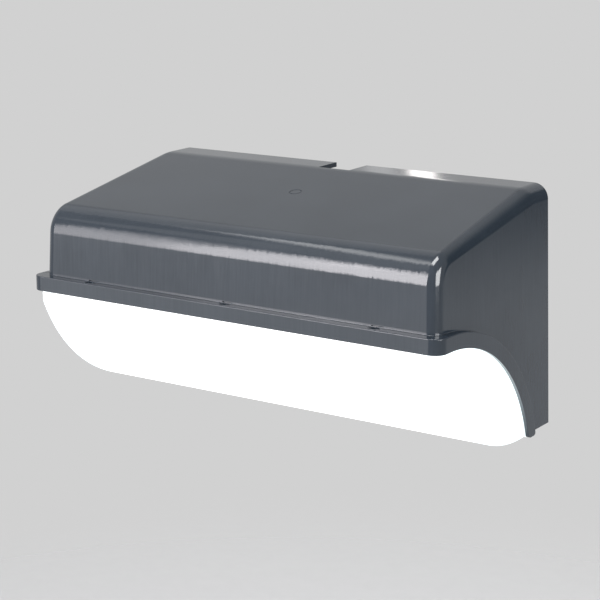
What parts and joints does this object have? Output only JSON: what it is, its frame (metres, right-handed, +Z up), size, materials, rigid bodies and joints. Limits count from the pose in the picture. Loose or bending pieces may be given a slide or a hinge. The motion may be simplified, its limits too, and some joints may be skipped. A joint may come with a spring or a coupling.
{
  "type": "outdoor wall light",
  "caption": "Outdoor bulkhead wall light: a moulded grey hood with an arched rim over a hinged opal bowl that opens downward.",
  "frame": {"origin": "on the wall plane, at the centre of the four fixing slots of the wall plate", "axes": "+X along the wall, to the right as seen from the room; +Y into the wall; +Z up"},
  "size_m": [0.3, 0.147, 0.1528],
  "materials": {
    "hood_plastic": "semi-gloss moulded, fine hairline marks",
    "opal_plastic": "opal, lit from inside",
    "plate_plastic": "fine moulded grain",
    "white_plastic": "satin",
    "black_plastic": "satin",
    "board_white": "solder-resist white",
    "lamp_yellow": "phosphor",
    "lead_brown": "insulation",
    "lead_red": "insulation",
    "seal_rubber": "matt",
    "tray_enamel": "gloss white enamel",
    "steel": "zinc plated",
    "brass": "plain"
  },
  "bodies": {
    "housing": {"hood": "hood_plastic", "diffuser_gasket": "seal_rubber", "hinge_pins": "steel", "cover_screws": "steel", "wall_plate": "plate_plastic", "wall_gasket": "seal_rubber", "cable_grommet": "seal_rubber", "gear_tray": "tray_enamel", "tray_screws": "steel", "lead_grommet": "seal_rubber", "led_boards": "board_white", "led_chips": "lamp_yellow", "board_screws": "steel", "led_connectors": "white_plastic", "driver_case": "white_plastic", "driver_lid": "plate_plastic", "driver_screws": "steel", "terminal_block": "white_plastic", "terminal_screws": "brass", "terminal_fixing_screw": "steel", "cord_clamp": "black_plastic", "clamp_screws": "steel", "earth_tag": "brass", "earth_screw": "steel", "mains_leads": "lead_brown", "led_leads": "lead_red"},
    "bowl": {"diffuser": "opal_plastic"}
  },
  "joints": [
    {"name": "diffuser_hinge", "type": "hinge", "parent": "housing", "child": "bowl", "pos_m": [0, -0.0302, -0.074], "axis": [1, 0, 0], "range_deg": [0, 90]}
  ]
}
